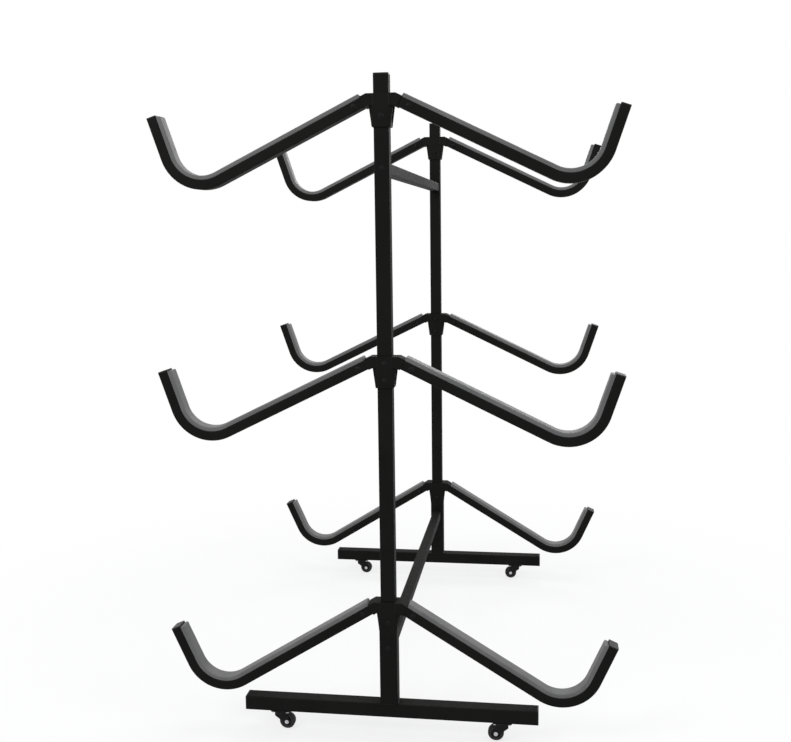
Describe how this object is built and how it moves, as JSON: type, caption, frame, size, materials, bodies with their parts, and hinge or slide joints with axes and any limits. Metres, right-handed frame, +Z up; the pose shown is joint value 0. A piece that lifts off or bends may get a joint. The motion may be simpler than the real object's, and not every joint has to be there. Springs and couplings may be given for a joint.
{
  "type": "kayak rack",
  "caption": "Freestanding steel rack on swivel casters, with tiers of padded J-shaped arms each side for storing kayaks.",
  "frame": {"origin": "centre of the rack's footprint, on the floor", "axes": "+X across the arms to the right, +Y from the front post to the rear post, +Z up"},
  "size_m": [1.4256, 1.5634, 2.04],
  "materials": {
    "frame_steel": "satin black powder coat",
    "pad_rubber": "satin dark grey extruded rubber strip",
    "cap_plastic": "satin black moulded plastic",
    "black_bolts": "black coated steel",
    "zinc_steel": "zinc plated steel",
    "caster_steel": "black coated pressed steel",
    "wheel_plastic": "moulded plastic wheel core",
    "tyre_rubber": "black rubber tread"
  },
  "bodies": {
    "frame": {"foot_tube_front": "frame_steel", "foot_tube_rear": "frame_steel", "foot_end_caps": "cap_plastic", "base_post_front": "frame_steel", "base_post_rear": "frame_steel", "lower_upright_front": "frame_steel", "lower_upright_rear": "frame_steel", "upper_upright_front": "frame_steel", "upper_upright_rear": "frame_steel", "upright_splices": "frame_steel", "upright_caps": "cap_plastic", "yoke_low_front": "frame_steel", "yoke_low_rear": "frame_steel", "yoke_mid_front": "frame_steel", "yoke_mid_rear": "frame_steel", "yoke_top_front": "frame_steel", "yoke_top_rear": "frame_steel", "arm_low_front_left": "frame_steel", "arm_low_front_right": "frame_steel", "arm_low_rear_left": "frame_steel", "arm_low_rear_right": "frame_steel", "arm_mid_front_left": "frame_steel", "arm_mid_front_right": "frame_steel", "arm_mid_rear_left": "frame_steel", "arm_mid_rear_right": "frame_steel", "arm_top_front_left": "frame_steel", "arm_top_front_right": "frame_steel", "arm_top_rear_left": "frame_steel", "arm_top_rear_right": "frame_steel", "pads_low_front": "pad_rubber", "pads_low_rear": "pad_rubber", "pads_mid_front": "pad_rubber", "pads_mid_rear": "pad_rubber", "pads_top_front": "pad_rubber", "pads_top_rear": "pad_rubber", "arm_tip_caps": "cap_plastic", "spreader_beam_low": "frame_steel", "spreader_beam_top": "frame_steel", "frame_bolts": "black_bolts", "frame_nuts": "black_bolts", "caster_plates": "caster_steel", "caster_screws": "zinc_steel", "caster_kingpins": "zinc_steel"},
    "swivel_front_left": {"caster_fork_front_left": "caster_steel", "caster_axle_front_left": "zinc_steel"},
    "wheel_front_left": {"caster_hub_front_left": "wheel_plastic", "caster_tyre_front_left": "tyre_rubber"},
    "swivel_front_right": {"caster_fork_front_right": "caster_steel", "caster_axle_front_right": "zinc_steel"},
    "wheel_front_right": {"caster_hub_front_right": "wheel_plastic", "caster_tyre_front_right": "tyre_rubber"},
    "swivel_rear_left": {"caster_fork_rear_left": "caster_steel", "caster_axle_rear_left": "zinc_steel"},
    "wheel_rear_left": {"caster_hub_rear_left": "wheel_plastic", "caster_tyre_rear_left": "tyre_rubber"},
    "swivel_rear_right": {"caster_fork_rear_right": "caster_steel", "caster_axle_rear_right": "zinc_steel"},
    "wheel_rear_right": {"caster_hub_rear_right": "wheel_plastic", "caster_tyre_rear_right": "tyre_rubber"}
  },
  "joints": [
    {"name": "swivel_front_left_turn", "type": "hinge", "parent": "frame", "child": "swivel_front_left", "pos_m": [-0.355, -0.75, 0.05], "axis": [0, 0, 1], "continuous": true},
    {"name": "wheel_front_left_roll", "type": "hinge", "parent": "swivel_front_left", "child": "wheel_front_left", "pos_m": [-0.335, -0.75, 0.025], "axis": [0, 1, 0], "continuous": true},
    {"name": "swivel_front_right_turn", "type": "hinge", "parent": "frame", "child": "swivel_front_right", "pos_m": [0.355, -0.75, 0.05], "axis": [0, 0, 1], "continuous": true},
    {"name": "wheel_front_right_roll", "type": "hinge", "parent": "swivel_front_right", "child": "wheel_front_right", "pos_m": [0.335, -0.75, 0.025], "axis": [0, 1, 0], "continuous": true},
    {"name": "swivel_rear_left_turn", "type": "hinge", "parent": "frame", "child": "swivel_rear_left", "pos_m": [-0.355, 0.75, 0.05], "axis": [0, 0, 1], "continuous": true},
    {"name": "wheel_rear_left_roll", "type": "hinge", "parent": "swivel_rear_left", "child": "wheel_rear_left", "pos_m": [-0.335, 0.75, 0.025], "axis": [0, 1, 0], "continuous": true},
    {"name": "swivel_rear_right_turn", "type": "hinge", "parent": "frame", "child": "swivel_rear_right", "pos_m": [0.355, 0.75, 0.05], "axis": [0, 0, 1], "continuous": true},
    {"name": "wheel_rear_right_roll", "type": "hinge", "parent": "swivel_rear_right", "child": "wheel_rear_right", "pos_m": [0.335, 0.75, 0.025], "axis": [0, 1, 0], "continuous": true}
  ]
}
